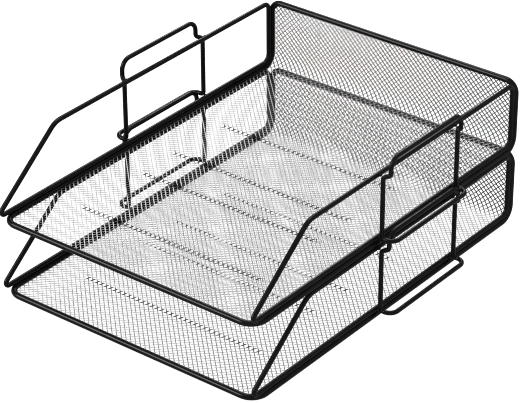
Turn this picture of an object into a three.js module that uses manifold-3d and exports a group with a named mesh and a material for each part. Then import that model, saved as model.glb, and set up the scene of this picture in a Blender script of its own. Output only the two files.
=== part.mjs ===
// A pair of stacking letter trays, built from welded steel wire and expanded steel mesh.
//
// Each tray is one mesh sheet, bent up at the rear to make a floor and a back wall, inside one
// thick rim wire that is bent the same way. A side frame of thinner wire stands on each long side
// of the rim. A hanger is welded to the outside of each side frame: its top is an upright hook loop,
// and its bottom is a flat foot loop. The upper tray's foot loops drop over the lower tray's hook
// loops, so the upper tray lifts straight off.
//
// Millimetres, +Z up, the open front faces -Y, left is -X. The origin is at desk level, under the
// middle of the object.

import * as THREE from 'three';
import { mergeVertices } from 'three/addons/utils/BufferGeometryUtils.js';
import Module from 'manifold-3d';

const wasm = await Module();
wasm.setup();

// Driving dimensions
const FRAME_SPACING = 250;
const OVERALL_DEPTH = 347;
const STACK_PITCH = 65;
const FRONT_SLOPE = THREE.MathUtils.degToRad(37.9);
const GAP = 0.3;

// Wire and sheet thicknesses
const RIM_WIRE = 5;
const SIDE_WIRE = 4;
const HANGER_WIRE = 3.8;
const SHEET = 0.8;

// Bends, as radii of the wire's centre line
const RIM_FRONT_BEND = 13;
const RIM_TOP_BEND = 10;
const TIP_BEND = 3;
const SHOULDER_BEND = 18;
const REAR_TOP_BEND = 6;
const REAR_BOTTOM_BEND = 7;
const HANGER_BEND = 2.5;
const HOOK_BEND = 9;
const FOOT_BEND = 3.5;
const FOOT_CORNER_BEND = 7.5;

// Hangers: two legs, an upright hook loop above and a flat foot loop below
const LEG_SPACING = 100;
const LEG_CENTRE_Y = 31.8;
const HOOK_REACH = 9.1;
const FOOT_REACH = 15.8;
const HOOK_HEIGHT = 13.8;
const HOOK_START_DROP = 1.8;
const HOOK_START_RISE = 1.5;
const FOOT_HEIGHT = 0.1;
const FOOT_SPLAY = 2;
const HOOK_INSET = 3.2;

// Stiffening ribs pressed up from the mesh floor
const RIB_PLACES_Y = [-117.5, -47, -7, 55.5];
const RIB_LENGTH = 180;
const RIB_WIDTH = 4;
const RIB_RISE = 1;

// Fineness of round shapes
const WIRE_SIDES = 8;
const BEND_STEP = THREE.MathUtils.degToRad(22.5);

// Places worked out from the driving dimensions
const WIRE_STEP = (RIM_WIRE + SIDE_WIRE) / 2 + GAP;
const RIM_Z = RIM_WIRE / 2;
const RAIL_Z = RIM_Z + WIRE_STEP;
const TOP_Z = RIM_Z + STACK_PITCH - WIRE_STEP;
const FRAME_X = FRAME_SPACING / 2;
const RIM_FRONT_Y = -OVERALL_DEPTH / 2 + RIM_WIRE / 2 + GAP;
const RIM_BACK_Y = OVERALL_DEPTH / 2 - RIM_WIRE / 2;
const FRAME_BACK_Y = RIM_BACK_Y - WIRE_STEP;
const RIM_REAR_BEND = REAR_BOTTOM_BEND + WIRE_STEP;
const LEG_X = FRAME_X + (SIDE_WIRE + HANGER_WIRE) / 2 + GAP;
const SHEET_INSET = RIM_WIRE / 2 + GAP;

const POWDER_COAT = { color: 0x141416, roughness: 0.42, metalness: 0.1 };
const MESH_COAT = { color: 0x1a1a1c, roughness: 0.5, metalness: 0.1 };

/** The centre line of a bent wire, as stations that each have a place and a direction. */
class WirePath extends THREE.Curve {
  constructor(stations) {
    super();
    this.stations = stations;
  }

  station(u) {
    return this.stations[Math.round(u * (this.stations.length - 1))];
  }

  getPoint(u, target = new THREE.Vector3()) {
    return target.copy(this.station(u).place);
  }

  getPointAt(u, target) {
    return this.getPoint(u, target);
  }

  getTangentAt(u, target = new THREE.Vector3()) {
    return target.copy(this.station(u).heading);
  }
}

/** The stations of one round bend at a corner, between the directions of travel before and after it. */
function bendStations({ at, bend }, before, after) {
  const turn = before.angleTo(after);
  const inward = after.clone().addScaledVector(before, -Math.cos(turn)).normalize();
  const start = at.clone().addScaledVector(before, -bend * Math.tan(turn / 2));
  const steps = Math.max(2, Math.round(turn / BEND_STEP));
  return Array.from({ length: steps + 1 }, (_, i) => {
    const angle = (turn * i) / steps;
    const place = start.clone();
    place.addScaledVector(before, bend * Math.sin(angle));
    place.addScaledVector(inward, bend * (1 - Math.cos(angle)));
    const heading = before.clone().multiplyScalar(Math.cos(angle));
    heading.addScaledVector(inward, Math.sin(angle));
    return { place, heading };
  });
}

/** A wire's cross-section: a regular polygon with flats at the wire's radius, above, below and at the sides. */
function wireSection(diameter) {
  const half = Math.PI / WIRE_SIDES;
  const radius = diameter / 2 / Math.cos(half);
  const corners = Array.from({ length: WIRE_SIDES }, (_, i) => {
    const angle = half * (2 * i + 1);
    return new THREE.Vector2(radius * Math.cos(angle), radius * Math.sin(angle));
  });
  return new THREE.Shape(corners);
}

/** A closed loop of wire through corners, each { at, bend }. Its butt joint is midway from the last to the first. */
function wireLoop(corners, diameter) {
  const joint = corners.at(-1).at.clone().lerp(corners[0].at, 0.5);
  const headings = corners.map(({ at }, i) => {
    const from = i === 0 ? joint : corners[i - 1].at;
    return at.clone().sub(from).normalize();
  });
  const first = headings[0];
  const start = { place: joint.clone().addScaledVector(first, GAP / 2), heading: first };
  const end = { place: joint.clone().addScaledVector(first, -GAP / 2), heading: first };
  const bends = corners.flatMap((corner, i) => bendStations(corner, headings[i], headings[i + 1] ?? first));
  const stations = [start, ...bends, end];
  return new THREE.ExtrudeGeometry(wireSection(diameter), {
    steps: stations.length - 1,
    extrudePath: new WirePath(stations),
  });
}

/** One corner of a wire loop. */
function corner(x, y, z, bend) {
  return { at: new THREE.Vector3(x, y, z), bend };
}

/** The thick rim: round the floor's front and sides, up the back wall's sides and across its top. */
function rimGeometry() {
  return wireLoop([
    corner(FRAME_X, RIM_BACK_Y, TOP_Z, RIM_TOP_BEND),
    corner(FRAME_X, RIM_BACK_Y, RIM_Z, RIM_REAR_BEND),
    corner(FRAME_X, RIM_FRONT_Y, RIM_Z, RIM_FRONT_BEND),
    corner(-FRAME_X, RIM_FRONT_Y, RIM_Z, RIM_FRONT_BEND),
    corner(-FRAME_X, RIM_BACK_Y, RIM_Z, RIM_REAR_BEND),
    corner(-FRAME_X, RIM_BACK_Y, TOP_Z, RIM_TOP_BEND),
  ], RIM_WIRE);
}

/** A side frame, on the side where x lies: bottom rail, rear post, top rail and sloping front. */
function sideFrameGeometry(x) {
  const foremost = -OVERALL_DEPTH / 2 + SIDE_WIRE / 2;
  const tipY = foremost + TIP_BEND - TIP_BEND / Math.tan(FRONT_SLOPE / 2);
  const shoulderY = tipY + (TOP_Z - RAIL_Z) / Math.tan(FRONT_SLOPE);
  return wireLoop([
    corner(x, FRAME_BACK_Y, RAIL_Z, REAR_BOTTOM_BEND),
    corner(x, FRAME_BACK_Y, TOP_Z, REAR_TOP_BEND),
    corner(x, shoulderY, TOP_Z, SHOULDER_BEND),
    corner(x, tipY, RAIL_Z, TIP_BEND),
  ], SIDE_WIRE);
}

/** The corners of one leg of a hanger, from its foot loop up to its hook loop. */
function legCorners(side, end) {
  const y = LEG_CENTRE_Y + (end * LEG_SPACING) / 2;
  const footY = y + end * FOOT_SPLAY;
  const hookY = y - end * HOOK_INSET;
  const footX = side * (FRAME_X + FOOT_REACH);
  const hookX = side * (FRAME_X + HOOK_REACH);
  const legX = side * LEG_X;
  const hookStart = TOP_Z - HOOK_START_DROP;
  return [
    corner(footX, footY, RAIL_Z + FOOT_HEIGHT, FOOT_CORNER_BEND),
    corner(legX, y, RAIL_Z + FOOT_HEIGHT, FOOT_BEND),
    corner(legX, y, hookStart, HANGER_BEND),
    corner(hookX, hookY, hookStart + HOOK_START_RISE, HANGER_BEND),
    corner(hookX, hookY, TOP_Z + HOOK_HEIGHT, HOOK_BEND),
  ];
}

/** A hanger: up one leg, along the hook bar, down the other leg and back along the foot bar. */
function hangerGeometry(side) {
  return wireLoop([...legCorners(side, -1), ...legCorners(side, 1).reverse()], HANGER_WIRE);
}

/** A closed geometry as a solid for joining and cutting. */
function toSolid(geometry) {
  const bare = geometry.clone();
  bare.deleteAttribute('normal');
  bare.deleteAttribute('uv');
  const merged = mergeVertices(bare, 1e-4);
  return new wasm.Manifold(new wasm.Mesh({
    numProp: 3,
    vertProperties: new Float32Array(merged.attributes.position.array),
    triVerts: new Uint32Array(merged.index.array),
  }));
}

/** A joined or cut solid as a geometry. */
function toGeometry(solid) {
  const { vertProperties, triVerts } = solid.getMesh();
  const geometry = new THREE.BufferGeometry();
  geometry.setAttribute('position', new THREE.BufferAttribute(vertProperties, 3));
  geometry.setIndex(new THREE.BufferAttribute(triVerts, 1));
  geometry.computeVertexNormals();
  return geometry;
}

const X = new THREE.Vector3(1, 0, 0);
const Y = new THREE.Vector3(0, 1, 0);
const Z = new THREE.Vector3(0, 0, 1);

/** A flat shape with length, its own axes laid along three axes of the object and its middle at an offset. */
function prism(shape, length, axes, middle = 0) {
  const geometry = new THREE.ExtrudeGeometry(shape, { depth: length, bevelEnabled: false, curveSegments: 5 });
  geometry.translate(0, 0, middle - length / 2);
  return geometry.applyMatrix4(new THREE.Matrix4().makeBasis(...axes));
}

/** The sheet's outline seen from the side: a floor and a back wall with a round bend between them. */
function sheetProfile() {
  const inner = RIM_REAR_BEND - SHEET / 2;
  const outer = RIM_REAR_BEND + SHEET / 2;
  const bendY = RIM_BACK_Y - RIM_REAR_BEND;
  const bendZ = RIM_Z + RIM_REAR_BEND;
  const frontY = RIM_FRONT_Y + SHEET_INSET;
  const topZ = TOP_Z - SHEET_INSET;
  const profile = new THREE.Shape();
  profile.moveTo(frontY, bendZ - outer);
  profile.lineTo(bendY, bendZ - outer);
  profile.absarc(bendY, bendZ, outer, -Math.PI / 2, 0, false);
  profile.lineTo(bendY + outer, topZ);
  profile.lineTo(bendY + inner, topZ);
  profile.absarc(bendY, bendZ, inner, 0, -Math.PI / 2, true);
  profile.lineTo(frontY, bendZ - inner);
  return profile;
}

/** A plate outline that keeps clear of the rim: round corners at its closed end, and open at the other. */
function clearOutline(halfWidth, closedEnd, openEnd, radius) {
  const outline = new THREE.Shape();
  outline.moveTo(-halfWidth, openEnd);
  outline.lineTo(-halfWidth, closedEnd + radius);
  outline.absarc(-halfWidth + radius, closedEnd + radius, radius, Math.PI, 1.5 * Math.PI, false);
  outline.absarc(halfWidth - radius, closedEnd + radius, radius, 1.5 * Math.PI, 2 * Math.PI, false);
  outline.lineTo(halfWidth, openEnd);
  return outline;
}

/** One rib's section: an arched top at the given height, reaching down to the given depth. */
function ribSection(width, top, bottom) {
  const arch = new THREE.Shape();
  arch.moveTo(-width / 2, bottom);
  arch.lineTo(width / 2, bottom);
  arch.quadraticCurveTo(width / 4, top, 0, top);
  arch.quadraticCurveTo(-width / 4, top, -width / 2, bottom);
  return arch;
}

/** The mesh as a thin plate with its true outline and pressed ribs. */
function meshSheetGeometry() {
  const halfWidth = FRAME_X - SHEET_INSET;
  const farAway = OVERALL_DEPTH;
  const plate = toSolid(prism(sheetProfile(), 2 * halfWidth, [Y, Z, X]));
  const frontRadius = RIM_FRONT_BEND - SHEET_INSET;
  const floorOutline = clearOutline(halfWidth, RIM_FRONT_Y + SHEET_INSET, farAway, frontRadius);
  const topRadius = RIM_TOP_BEND - SHEET_INSET;
  const wallOutline = clearOutline(halfWidth, -(TOP_Z - SHEET_INSET), farAway, topRadius);
  const fromAbove = toSolid(prism(floorOutline, farAway, [X, Y, Z]));
  const fromBehind = toSolid(prism(wallOutline, 2 * farAway, [X, Z.clone().negate(), Y]));
  const floorTop = RIM_Z + SHEET / 2;
  const floorUnder = RIM_Z - SHEET / 2;
  const ribTop = ribSection(RIB_WIDTH, floorTop + RIB_RISE, RIM_Z);
  const ribUnder = ribSection(RIB_WIDTH - 2 * SHEET, floorUnder + RIB_RISE, floorUnder - SHEET);
  let sheet = plate.intersect(fromAbove).intersect(fromBehind);
  for (const y of RIB_PLACES_Y) {
    const ridge = toSolid(prism(ribTop, RIB_LENGTH, [Y, Z, X])).translate(0, y, 0);
    const groove = toSolid(prism(ribUnder, RIB_LENGTH - 2 * SHEET, [Y, Z, X])).translate(0, y, 0);
    sheet = sheet.add(ridge).subtract(groove);
  }
  return toGeometry(sheet);
}

/** A named piece of the object. */
function piece(name, geometry, coat) {
  const mesh = new THREE.Mesh(geometry, new THREE.MeshStandardMaterial(coat));
  mesh.name = name;
  return mesh;
}

/** One whole tray, standing at desk level. */
function tray(level) {
  const group = new THREE.Group();
  group.add(piece(`${level}_rim`, rimGeometry(), POWDER_COAT));
  group.add(piece(`${level}_mesh_sheet`, meshSheetGeometry(), MESH_COAT));
  for (const [hand, side] of [['left', -1], ['right', 1]]) {
    group.add(piece(`${level}_side_frame_${hand}`, sideFrameGeometry(side * FRAME_X), POWDER_COAT));
    group.add(piece(`${level}_hanger_${hand}`, hangerGeometry(side), POWDER_COAT));
  }
  return group;
}

const trays = new THREE.Group();
['lower', 'upper'].forEach((level, i) => {
  const one = tray(level);
  one.position.z = i * STACK_PITCH;
  trays.add(one);
});

export default trays;
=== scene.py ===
"""Two stacking letter trays of black powder-coated wire and expanded steel mesh.

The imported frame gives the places. Every wire is swept again as a smooth closed loop, and each mesh sheet
is a real lattice of strands, bent up at the rear and pressed with stiffening ribs. Units are metres.
"""

import math

import bpy
from mathutils import Matrix, Vector


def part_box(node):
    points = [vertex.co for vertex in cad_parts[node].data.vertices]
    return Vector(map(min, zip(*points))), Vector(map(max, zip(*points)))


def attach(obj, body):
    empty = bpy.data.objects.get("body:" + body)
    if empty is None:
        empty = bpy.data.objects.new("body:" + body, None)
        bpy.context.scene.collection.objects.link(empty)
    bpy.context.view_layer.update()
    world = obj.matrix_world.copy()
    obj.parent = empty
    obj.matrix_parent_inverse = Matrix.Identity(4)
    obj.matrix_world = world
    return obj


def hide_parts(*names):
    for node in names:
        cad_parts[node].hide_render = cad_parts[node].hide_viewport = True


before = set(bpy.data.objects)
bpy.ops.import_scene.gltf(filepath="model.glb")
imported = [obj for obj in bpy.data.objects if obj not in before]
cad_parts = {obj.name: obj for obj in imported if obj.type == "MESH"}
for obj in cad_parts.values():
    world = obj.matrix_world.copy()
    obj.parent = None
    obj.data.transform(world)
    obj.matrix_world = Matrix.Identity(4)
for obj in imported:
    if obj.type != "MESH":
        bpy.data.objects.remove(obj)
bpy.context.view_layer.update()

MM = 0.001
TRAYS = ("lower", "upper")
SIDES = {"left": -1, "right": 1}

# Wires: radii, then the bends of their centre lines
RIM_RADIUS = 2.5 * MM
SIDE_RADIUS = 2 * MM
HANGER_RADIUS = 1.9 * MM
RIM_FRONT_BEND = 13 * MM
RIM_TOP_BEND = 10 * MM
REAR_BOTTOM_BEND = 7 * MM
REAR_TOP_BEND = 6 * MM
SHOULDER_BEND = 18 * MM
TIP_BEND = 3 * MM
HANGER_BEND = 2.5 * MM
HOOK_BEND = 9 * MM
FOOT_BEND = 3.5 * MM
FOOT_CORNER_BEND = 7.5 * MM
FRONT_SLOPE = math.radians(37.9)

# Hangers, measured from the side frames
LEG_SPACING = 100 * MM
HOOK_REACH = 9.1 * MM
HOOK_START_DROP = 1.8 * MM
HOOK_START_RISE = 1.5 * MM
FOOT_SPLAY = 2 * MM
HOOK_INSET = 3.2 * MM
WELD_GAP = 0.3 * MM

# Mesh: leaning strands, how far the sheet reaches past the rim's centre line, and the ribs in its floor
STRAND_WIDTH = 0.76 * MM
STRAND_THICKNESS = 0.15 * MM
STRAND_LEAN = 0.22 * MM
MESH_STEP = 2.42 * MM
MESH_REACH = 1.2 * MM
RIB_PLACES_Y = (-117.5 * MM, -47 * MM, -7 * MM, 55.5 * MM)
RIB_HALF_LENGTH = 90 * MM
RIB_HALF_WIDTH = 3.4 * MM
RIB_STEP = 0.9 * MM
RIB_RAMP = 4.5 * MM
RIB_RISE = 1.5 * MM

# Weld beads: their places, and their half sizes along, across and through the seam
RAIL_WELDS_Y = (-162 * MM, -95 * MM, -20 * MM, 84 * MM, 150 * MM)
POST_WELD_SHARES = (0.3, 0.85)
RAIL_BEAD = (2.6 * MM, 1 * MM, 0.8 * MM)
LEG_BEAD = (2.1 * MM, 0.8 * MM, 1.5 * MM)
WELD_RINGS = 8
WELD_SIDES = 12

# Fineness of the swept wires
WIRE_SIDES = 20
BEND_STEP = math.radians(9)

# Camera: where it stands and how it is turned
CAMERA_PLACE = (1.0883, -1.3812, 1.0686)
CAMERA_AZIMUTH = math.radians(38.34)
CAMERA_ELEVATION = math.radians(30.06)
CAMERA_ROLL = math.radians(-0.305)
CAMERA_LENS_MM = 175.15

# Powder coat: the sizes of its clouds of shade and specks of gloss, and the strength of its orange peel
CLOUD_SIZE = 18 * MM
SPECK_SIZE = 1.1 * MM
PEEL_STRENGTH = 0.6

# Floor: half its width, and its shades of paint and glow
FLOOR_HALF = 6.0
FLOOR_SHADE = 0.15
FLOOR_GLOW = 0.94

# Light: each softbox's direction from the object, its distance, its width and height, and its radiance
LIGHT_AIM = Vector((0, 0, 0.06))
BACK_SOFTBOX = ((-0.5, 0.78, 0.36), 2.4, (4.0, 2.0), 7)
OVERHEAD_SOFTBOX = ((-0.2, 0.3, 0.93), 2.2, (1.0, 1.0), 3)
LEFT_SOFTBOX = ((-0.53, -0.69, 0.5), 2.2, (1.1, 1.1), 5.5)
REAR_SOFTBOX = ((-0.47, 0.69, 0.55), 2.2, (0.45, 0.45), 8)
WORLD_STRENGTH = 1.0
WORLD_IN_REFLECTIONS = 0.22


# ---------------------------------------------------------------- materials


def material(name):
    """A new node material, with its tree's nodes, links and shader."""
    made = bpy.data.materials.new(name)
    made.use_nodes = True
    nodes, links = made.node_tree.nodes, made.node_tree.links
    return made, nodes, links, nodes["Principled BSDF"]


def noise(nodes, links, coordinates, size, detail=3.0):
    """A noise pattern whose features are about the given size."""
    made = nodes.new("ShaderNodeTexNoise")
    made.inputs["Scale"].default_value = 1 / size
    made.inputs["Detail"].default_value = detail
    links.new(coordinates.outputs["Object"], made.inputs["Vector"])
    return made.outputs["Fac"]


def ramp(nodes, links, value, low, high, start=0.35, end=0.65):
    """A value turned into a colour between low and high."""
    made = nodes.new("ShaderNodeValToRGB")
    made.color_ramp.elements[0].position = start
    made.color_ramp.elements[1].position = end
    made.color_ramp.elements[0].color = (*low, 1)
    made.color_ramp.elements[1].color = (*high, 1)
    links.new(value, made.inputs["Fac"])
    return made.outputs["Color"]


def between(nodes, links, value, low, high):
    """A value from 0 to 1 turned into a number from low to high."""
    made = nodes.new("ShaderNodeMapRange")
    made.inputs["From Min"].default_value = 0.3
    made.inputs["From Max"].default_value = 0.7
    made.inputs["To Min"].default_value = low
    made.inputs["To Max"].default_value = high
    links.new(value, made.inputs["Value"])
    return made.outputs["Result"]


def powder_coat(name, dark, light, smooth, rough, peel_size, peel_depth, ior):
    """Black powder coat: fine orange peel, uneven gloss and a faint variation of shade."""
    made, nodes, links, shader = material(name)
    coordinates = nodes.new("ShaderNodeTexCoord")
    cloud = noise(nodes, links, coordinates, CLOUD_SIZE)
    speck = noise(nodes, links, coordinates, SPECK_SIZE, detail=5.0)
    links.new(ramp(nodes, links, cloud, dark, light), shader.inputs["Base Color"])
    links.new(between(nodes, links, speck, smooth, rough), shader.inputs["Roughness"])
    bump = nodes.new("ShaderNodeBump")
    bump.inputs["Strength"].default_value = PEEL_STRENGTH
    bump.inputs["Distance"].default_value = peel_depth
    links.new(noise(nodes, links, coordinates, peel_size), bump.inputs["Height"])
    links.new(bump.outputs["Normal"], shader.inputs["Normal"])
    shader.inputs["IOR"].default_value = ior
    return made


# ---------------------------------------------------------------- wires


def bend_stations(at, radius, before, after):
    """The places and headings round one bend, from one direction of travel to the next."""
    turn = before.angle(after)
    inward = (after - before * math.cos(turn)).normalized()
    start = at - before * radius * math.tan(turn / 2)
    steps = max(4, round(turn / BEND_STEP))
    for i in range(steps + 1):
        angle = turn * i / steps
        place = start + before * radius * math.sin(angle) + inward * radius * (1 - math.cos(angle))
        yield place, before * math.cos(angle) + inward * math.sin(angle)


def loop_stations(corners):
    """The places and headings round a closed loop of wire, from its corners, each (place, bend radius)."""
    places = [Vector(at) for at, _ in corners]
    count = len(places)
    headings = [(places[i] - places[i - 1]).normalized() for i in range(count)]
    stations = []
    for i, (_, radius) in enumerate(corners):
        stations += bend_stations(places[i], radius, headings[i], headings[(i + 1) % count])
    return stations


def carried_normals(stations):
    """A direction across the wire at each station, carried along without twist and eased to meet itself."""
    normals = [stations[0][1].orthogonal().normalized()]
    for (_, before), (_, after) in zip(stations, stations[1:] + stations[:1]):
        normals.append(before.rotation_difference(after) @ normals[-1])
    first, last, heading = normals[0], normals[-1], stations[0][1]
    slip = math.atan2(last.cross(first).dot(heading), last.dot(first))
    eased = []
    for i, (_, along) in enumerate(stations):
        share = slip * i / len(stations)
        across = along.cross(normals[i])
        eased.append(normals[i] * math.cos(share) + across * math.sin(share))
    return eased


def swept_loop(corners, radius):
    """A closed round wire as vertices and faces."""
    stations = loop_stations(corners)
    vertices, faces = [], []
    for (place, along), normal in zip(stations, carried_normals(stations)):
        across = along.cross(normal)
        for k in range(WIRE_SIDES):
            angle = 2 * math.pi * k / WIRE_SIDES
            vertices.append(place + (normal * math.cos(angle) + across * math.sin(angle)) * radius)
    rings = len(stations)
    for i in range(rings):
        here, there = i * WIRE_SIDES, (i + 1) % rings * WIRE_SIDES
        for k in range(WIRE_SIDES):
            k2 = (k + 1) % WIRE_SIDES
            faces.append((here + k, here + k2, there + k2, there + k))
    return vertices, faces


def finished(name, shape, coat, slot, body, *nodes, smooth=True):
    """A piece made of vertices and faces, which rides on a body and stands for the named CAD nodes."""
    vertices, faces = shape
    mesh = bpy.data.meshes.new(name)
    mesh.from_pydata([tuple(v) for v in vertices], [], faces)
    if smooth:
        mesh.shade_smooth()
    mesh.materials.append(coat)
    made = bpy.data.objects.new(name, mesh)
    bpy.context.scene.collection.objects.link(made)
    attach(made, body)
    if nodes:
        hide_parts(*nodes)
    return made


# ---------------------------------------------------------------- places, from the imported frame


class Places:
    """Where one tray's centre lines run, worked out from its nodes' boxes."""

    def __init__(self, tray):
        low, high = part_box(f"{tray}_rim")
        self.frame_x = high[0] - RIM_RADIUS
        self.rim_front = low[1] + RIM_RADIUS
        self.rim_back = high[1] - RIM_RADIUS
        self.foremost = -high[1] + SIDE_RADIUS
        self.rim_z = low[2] + RIM_RADIUS
        self.top_z = high[2] - RIM_RADIUS
        low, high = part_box(f"{tray}_side_frame_right")
        self.rail_z = low[2] + SIDE_RADIUS
        self.frame_back = high[1] - SIDE_RADIUS
        self.rear_bend = REAR_BOTTOM_BEND + self.rail_z - self.rim_z
        low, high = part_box(f"{tray}_hanger_right")
        self.foot_x = high[0] - HANGER_RADIUS
        self.foot_z = low[2] + HANGER_RADIUS
        self.hook_z = high[2] - HANGER_RADIUS
        self.hook_x = self.frame_x + HOOK_REACH
        self.leg_x = self.frame_x + SIDE_RADIUS + HANGER_RADIUS + WELD_GAP
        self.leg_middle = (low[1] + high[1]) / 2


def rim_corners(at):
    """The rim: round the floor's front and sides, up the back wall's sides and across its top."""
    x, back, front = at.frame_x, at.rim_back, at.rim_front
    return [
        ((x, back, at.top_z), RIM_TOP_BEND),
        ((x, back, at.rim_z), at.rear_bend),
        ((x, front, at.rim_z), RIM_FRONT_BEND),
        ((-x, front, at.rim_z), RIM_FRONT_BEND),
        ((-x, back, at.rim_z), at.rear_bend),
        ((-x, back, at.top_z), RIM_TOP_BEND),
    ]


def side_frame_corners(at, side):
    """A side frame: rear post, top rail, sloping front and bottom rail."""
    x = side * at.frame_x
    tip = at.foremost + TIP_BEND - TIP_BEND / math.tan(FRONT_SLOPE / 2)
    shoulder = tip + (at.top_z - at.rail_z) / math.tan(FRONT_SLOPE)
    return [
        ((x, at.frame_back, at.rail_z), REAR_BOTTOM_BEND),
        ((x, at.frame_back, at.top_z), REAR_TOP_BEND),
        ((x, shoulder, at.top_z), SHOULDER_BEND),
        ((x, tip, at.rail_z), TIP_BEND),
    ]


def leg_corners(at, side, end):
    """One leg of a hanger, from its foot loop up to its hook loop. The end is -1 in front and 1 behind."""
    leg_y = at.leg_middle + end * LEG_SPACING / 2
    foot_y = leg_y + end * FOOT_SPLAY
    hook_y = leg_y - end * HOOK_INSET
    foot_x, leg_x, hook_x = side * at.foot_x, side * at.leg_x, side * at.hook_x
    hook_start = at.top_z - HOOK_START_DROP
    return [
        ((foot_x, foot_y, at.foot_z), FOOT_CORNER_BEND),
        ((leg_x, leg_y, at.foot_z), FOOT_BEND),
        ((leg_x, leg_y, hook_start), HANGER_BEND),
        ((hook_x, hook_y, hook_start + HOOK_START_RISE), HANGER_BEND),
        ((hook_x, hook_y, at.hook_z), HOOK_BEND),
    ]


# ---------------------------------------------------------------- mesh sheet


class Sheet:
    """One tray's mesh sheet: a lattice of nodes and strands, laid along the floor, rear bend and wall."""

    def __init__(self, at):
        self.at = at
        self.bend_y = at.rim_back - at.rear_bend
        self.bend_z = at.rim_z + at.rear_bend
        self.floor = self.bend_y - at.rim_front
        self.arc = at.rear_bend * math.pi / 2
        self.length = self.floor + self.arc + at.top_z - self.bend_z
        self.columns = round(at.frame_x / MESH_STEP)
        self.rows = 2 * round(self.length / MESH_STEP / 2)
        self.step_u = at.frame_x / self.columns
        self.step_v = self.length / self.rows
        self.ribs = [round((y - at.rim_front) / self.step_v) * self.step_v for y in RIB_PLACES_Y]

    def place(self, u, v, lift):
        """The point u across and v along the sheet from its front, lifted off it towards the papers."""
        if v <= self.floor:
            return u, self.at.rim_front + v, self.at.rim_z + lift + self.rib_rise(u, v)
        radius = self.at.rear_bend - lift
        if v >= self.floor + self.arc:
            return u, self.bend_y + radius, self.bend_z + v - self.floor - self.arc
        angle = (v - self.floor) / self.at.rear_bend
        return u, self.bend_y + radius * math.sin(angle), self.bend_z - radius * math.cos(angle)

    def rib_rise(self, u, v):
        """How far a pressed rib lifts the floor here. Its front edge is a sharp step on a row of nodes."""
        for front in self.ribs:
            beyond = max(0, abs(u) - RIB_HALF_LENGTH + RIB_HALF_WIDTH)
            middle = front - RIB_STEP / 2 + RIB_HALF_WIDTH
            inside = RIB_HALF_WIDTH - math.hypot(beyond, v - middle)
            if inside > 0:
                fall = (middle + RIB_HALF_WIDTH - v) / RIB_RAMP
                return RIB_RISE * min(1, inside / RIB_STEP, fall)
        return 0.0

    def holds(self, i, j):
        """Whether a node lies inside the rim's centre line, or a little past it, within the wire."""
        v = j * self.step_v
        for depth, radius in ((v, RIM_FRONT_BEND), (self.length - v, RIM_TOP_BEND)):
            du = abs(i * self.step_u) - (self.at.frame_x - radius)
            dv = radius - depth
            if du > 0 and dv > 0 and math.hypot(du, dv) > radius + MESH_REACH:
                return False
        return True


def lattice(at):
    """Expanded mesh as one closed surface: diamond holes between flat strands that lean towards the rear."""
    sheet = Sheet(at)
    hole = 1 - STRAND_WIDTH / (MESH_STEP * math.sqrt(2))
    columns, rows = range(-sheet.columns, sheet.columns + 1), range(sheet.rows + 1)
    kept = {(i, j) for i in columns for j in rows if (i + j) % 2 == 0 and sheet.holds(i, j)}
    vertices, faces, known = [], [], {}

    def edge(node, cell, face):
        """The corner, at a node, of the hole in a cell, on the strands' upper or under face."""
        key = (node, cell, face)
        if key not in known:
            known[key] = len(vertices)
            u = (cell[0] + (node[0] - cell[0]) * hole) * sheet.step_u
            v = (cell[1] + (node[1] - cell[1]) * hole) * sheet.step_v
            lean = (node[1] - cell[1]) * STRAND_LEAN
            vertices.append(sheet.place(u, v, lean + face * STRAND_THICKNESS / 2))
        return known[key]

    for node in kept:
        i, j = node
        round_it = ((i + 1, j), (i, j + 1), (i - 1, j), (i, j - 1))
        faces.append([edge(node, cell, 1) for cell in round_it])
        faces.append([edge(node, cell, -1) for cell in reversed(round_it)])
        for di, dj in ((1, 1), (-1, 1), (-1, -1), (1, -1)):
            other = (i + di, j + dj)
            right, left = ((i + di, j), (i, j + dj))[:: di * dj]
            if other not in kept:
                corners = ((left, -1), (left, 1), (right, 1), (right, -1))
                faces.append([edge(node, cell, face) for cell, face in corners])
            elif dj > 0:
                for (cell_a, face_a), (cell_b, face_b) in (
                    ((right, 1), (left, 1)),
                    ((left, 1), (left, -1)),
                    ((left, -1), (right, -1)),
                    ((right, -1), (right, 1)),
                ):
                    faces.append((
                        edge(node, cell_a, face_a),
                        edge(other, cell_a, face_a),
                        edge(other, cell_b, face_b),
                        edge(node, cell_b, face_b),
                    ))
    return vertices, faces


# ---------------------------------------------------------------- welds


def nugget(middle, along, half_sizes):
    """A smooth weld bead: a closed ellipsoid with its long axis along a direction."""
    turned = Vector(along).to_track_quat("X", "Z").to_matrix()
    vertices, faces = [], []
    for i in range(1, WELD_RINGS):
        tilt = math.pi * i / WELD_RINGS
        for k in range(WELD_SIDES):
            angle = 2 * math.pi * k / WELD_SIDES
            ball = (math.cos(tilt), math.sin(tilt) * math.cos(angle), math.sin(tilt) * math.sin(angle))
            scaled = Vector([size * part for size, part in zip(half_sizes, ball)])
            vertices.append(Vector(middle) + turned @ scaled)
    for i in range(WELD_RINGS - 2):
        for k in range(WELD_SIDES):
            k2 = (k + 1) % WELD_SIDES
            here, there = i * WELD_SIDES, (i + 1) * WELD_SIDES
            faces.append((here + k, there + k, there + k2, here + k2))
    faces.append(tuple(range(WELD_SIDES)))
    faces.append(tuple(reversed([(WELD_RINGS - 2) * WELD_SIDES + k for k in range(WELD_SIDES)])))
    return vertices, faces


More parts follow.
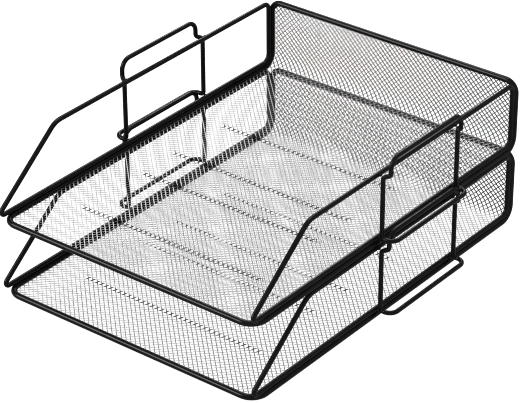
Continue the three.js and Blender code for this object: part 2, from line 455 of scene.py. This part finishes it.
def weld_beads(at):
    """Every bead on one tray: rails on the rim, rear posts on the rim, and hanger legs on both rails."""
    beads = []
    seam_z = (at.rim_z + RIM_RADIUS + at.rail_z - SIDE_RADIUS) / 2
    seam_y = (at.rim_back - RIM_RADIUS + at.frame_back + SIDE_RADIUS) / 2
    leg_seam = at.frame_x + SIDE_RADIUS + WELD_GAP / 2
    for side in SIDES.values():
        x = side * at.frame_x
        for y in RAIL_WELDS_Y:
            beads.append(((x, y, seam_z), (0, 1, 0), RAIL_BEAD))
        for rise in POST_WELD_SHARES:
            z = at.rail_z + rise * (at.top_z - at.rail_z)
            beads.append(((x, seam_y, z), (0, 0, 1), RAIL_BEAD))
        for end in (-1, 1):
            leg_y = at.leg_middle + end * LEG_SPACING / 2
            for z in (at.rail_z, at.top_z):
                beads.append(((side * leg_seam, leg_y, z), (0, 1, 0), LEG_BEAD))
    return beads


def welds(at):
    """All of one tray's weld beads as vertices and faces."""
    vertices, faces = [], []
    for middle, along, half_sizes in weld_beads(at):
        bead_vertices, bead_faces = nugget(middle, along, half_sizes)
        start = len(vertices)
        vertices += bead_vertices
        faces += [[start + k for k in face] for face in bead_faces]
    return vertices, faces


# ---------------------------------------------------------------- build


wire_coat = powder_coat(
    "black_powder_coat_wire",
    dark=(0.002, 0.002, 0.002),
    light=(0.004, 0.004, 0.004),
    smooth=0.18,
    rough=0.26,
    peel_size=0.9 * MM,
    peel_depth=0.02 * MM,
    ior=1.4,
)
mesh_coat = powder_coat(
    "black_powder_coat_mesh",
    dark=(0.005, 0.005, 0.005),
    light=(0.01, 0.01, 0.01),
    smooth=0.32,
    rough=0.44,
    peel_size=0.6 * MM,
    peel_depth=0.01 * MM,
    ior=1.8,
)


def build_tray(tray):
    """One whole tray, riding on its own body. Gives back its mesh."""
    at = Places(tray)
    body = f"{tray}_tray"

    def wire(piece, corners, radius):
        name = f"{tray}_{piece}"
        finished(f"{name}_wire", swept_loop(corners, radius), wire_coat, "coated_wire", body, name)

    wire("rim", rim_corners(at), RIM_RADIUS)
    for hand, side in SIDES.items():
        wire(f"side_frame_{hand}", side_frame_corners(at, side), SIDE_RADIUS)
        legs = leg_corners(at, side, -1) + leg_corners(at, side, 1)[::-1]
        wire(f"hanger_{hand}", legs, HANGER_RADIUS)
    finished(f"{tray}_welds", welds(at), wire_coat, "coated_wire", body)
    sheet_node = f"{tray}_mesh_sheet"
    return finished(f"{tray}_mesh", lattice(at), mesh_coat, "coated_mesh", body, sheet_node, smooth=False)


meshes = [build_tray(tray) for tray in TRAYS]


# ---------------------------------------------------------------- floor, light and camera


def add_floor():
    """A plain pale floor, wide enough to fill the view. It glows, so that shadows on it stay faint."""
    half = FLOOR_HALF
    corners = [(-half, -half, 0), (half, -half, 0), (half, half, 0), (-half, half, 0)]
    mesh = bpy.data.meshes.new("studio_floor")
    mesh.from_pydata(corners, [], [(0, 1, 2, 3)])
    made, _, _, shader = material("pale_floor")
    shader.inputs["Base Color"].default_value = (FLOOR_SHADE, FLOOR_SHADE, FLOOR_SHADE, 1)
    shader.inputs["Roughness"].default_value = 0.9
    shader.inputs["Specular IOR Level"].default_value = 0
    shader.inputs["Emission Color"].default_value = (1, 1, 1, 1)
    shader.inputs["Emission Strength"].default_value = FLOOR_GLOW
    mesh.materials.append(made)
    floor = bpy.data.objects.new("studio_floor", mesh)
    floor.visible_glossy = False
    bpy.context.scene.collection.objects.link(floor)
    return floor


def add_softbox(name, toward, distance, size, radiance):
    """A rectangular soft light of the given radiance, in a direction from the object and facing it."""
    place = LIGHT_AIM + Vector(toward).normalized() * distance
    data = bpy.data.lights.new(name, "AREA")
    data.shape = "RECTANGLE"
    data.size, data.size_y = size
    data.energy = radiance * math.pi * size[0] * size[1]
    light = bpy.data.objects.new(name, data)
    light.location = place
    light.rotation_euler = (LIGHT_AIM - place).to_track_quat("-Z", "Y").to_euler()
    bpy.context.scene.collection.objects.link(light)
    return light


def light_only(light, receivers, blocker):
    """Shine a light on the receivers alone, with nothing but the blocker in its way."""
    linking = light.light_linking
    linking.receiver_collection = bpy.data.collections.new(f"{light.name}_receivers")
    linking.blocker_collection = bpy.data.collections.new(f"{light.name}_blockers")
    for receiver in receivers:
        linking.receiver_collection.objects.link(receiver)
    linking.blocker_collection.objects.link(blocker)


def add_world(strength, in_reflections):
    """White light from all round, which glossy surfaces mirror only faintly, as in a dark studio."""
    world = bpy.data.worlds.new("studio")
    world.use_nodes = True
    nodes, links = world.node_tree.nodes, world.node_tree.links
    background = nodes["Background"]
    background.inputs["Color"].default_value = (1, 1, 1, 1)
    path = nodes.new("ShaderNodeLightPath")
    share = nodes.new("ShaderNodeMapRange")
    share.inputs["To Min"].default_value = strength
    share.inputs["To Max"].default_value = in_reflections
    links.new(path.outputs["Is Glossy Ray"], share.inputs["Value"])
    links.new(share.outputs["Result"], background.inputs["Strength"])
    bpy.context.scene.world = world


def add_camera():
    """The camera, at the photograph's viewing angle."""
    data = bpy.data.cameras.new("camera")
    data.sensor_width = 36
    data.lens = CAMERA_LENS_MM
    data.clip_end = 50
    camera = bpy.data.objects.new("camera", data)
    camera.location = CAMERA_PLACE
    turn = Matrix.Rotation(CAMERA_AZIMUTH, 3, "Z")
    tip = Matrix.Rotation(math.pi / 2 - CAMERA_ELEVATION, 3, "X")
    roll = Matrix.Rotation(CAMERA_ROLL, 3, "Z")
    camera.rotation_euler = (turn @ tip @ roll).to_euler()
    bpy.context.scene.collection.objects.link(camera)
    bpy.context.scene.camera = camera


floor = add_floor()
add_world(WORLD_STRENGTH, WORLD_IN_REFLECTIONS)
light_only(add_softbox("back_softbox", *BACK_SOFTBOX), meshes, floor)
add_softbox("overhead_softbox", *OVERHEAD_SOFTBOX)
add_softbox("left_softbox", *LEFT_SOFTBOX)
add_softbox("rear_softbox", *REAR_SOFTBOX)
add_camera()
bpy.context.scene.view_settings.view_transform = "Standard"
bpy.context.scene.cycles.filter_width = 1.0
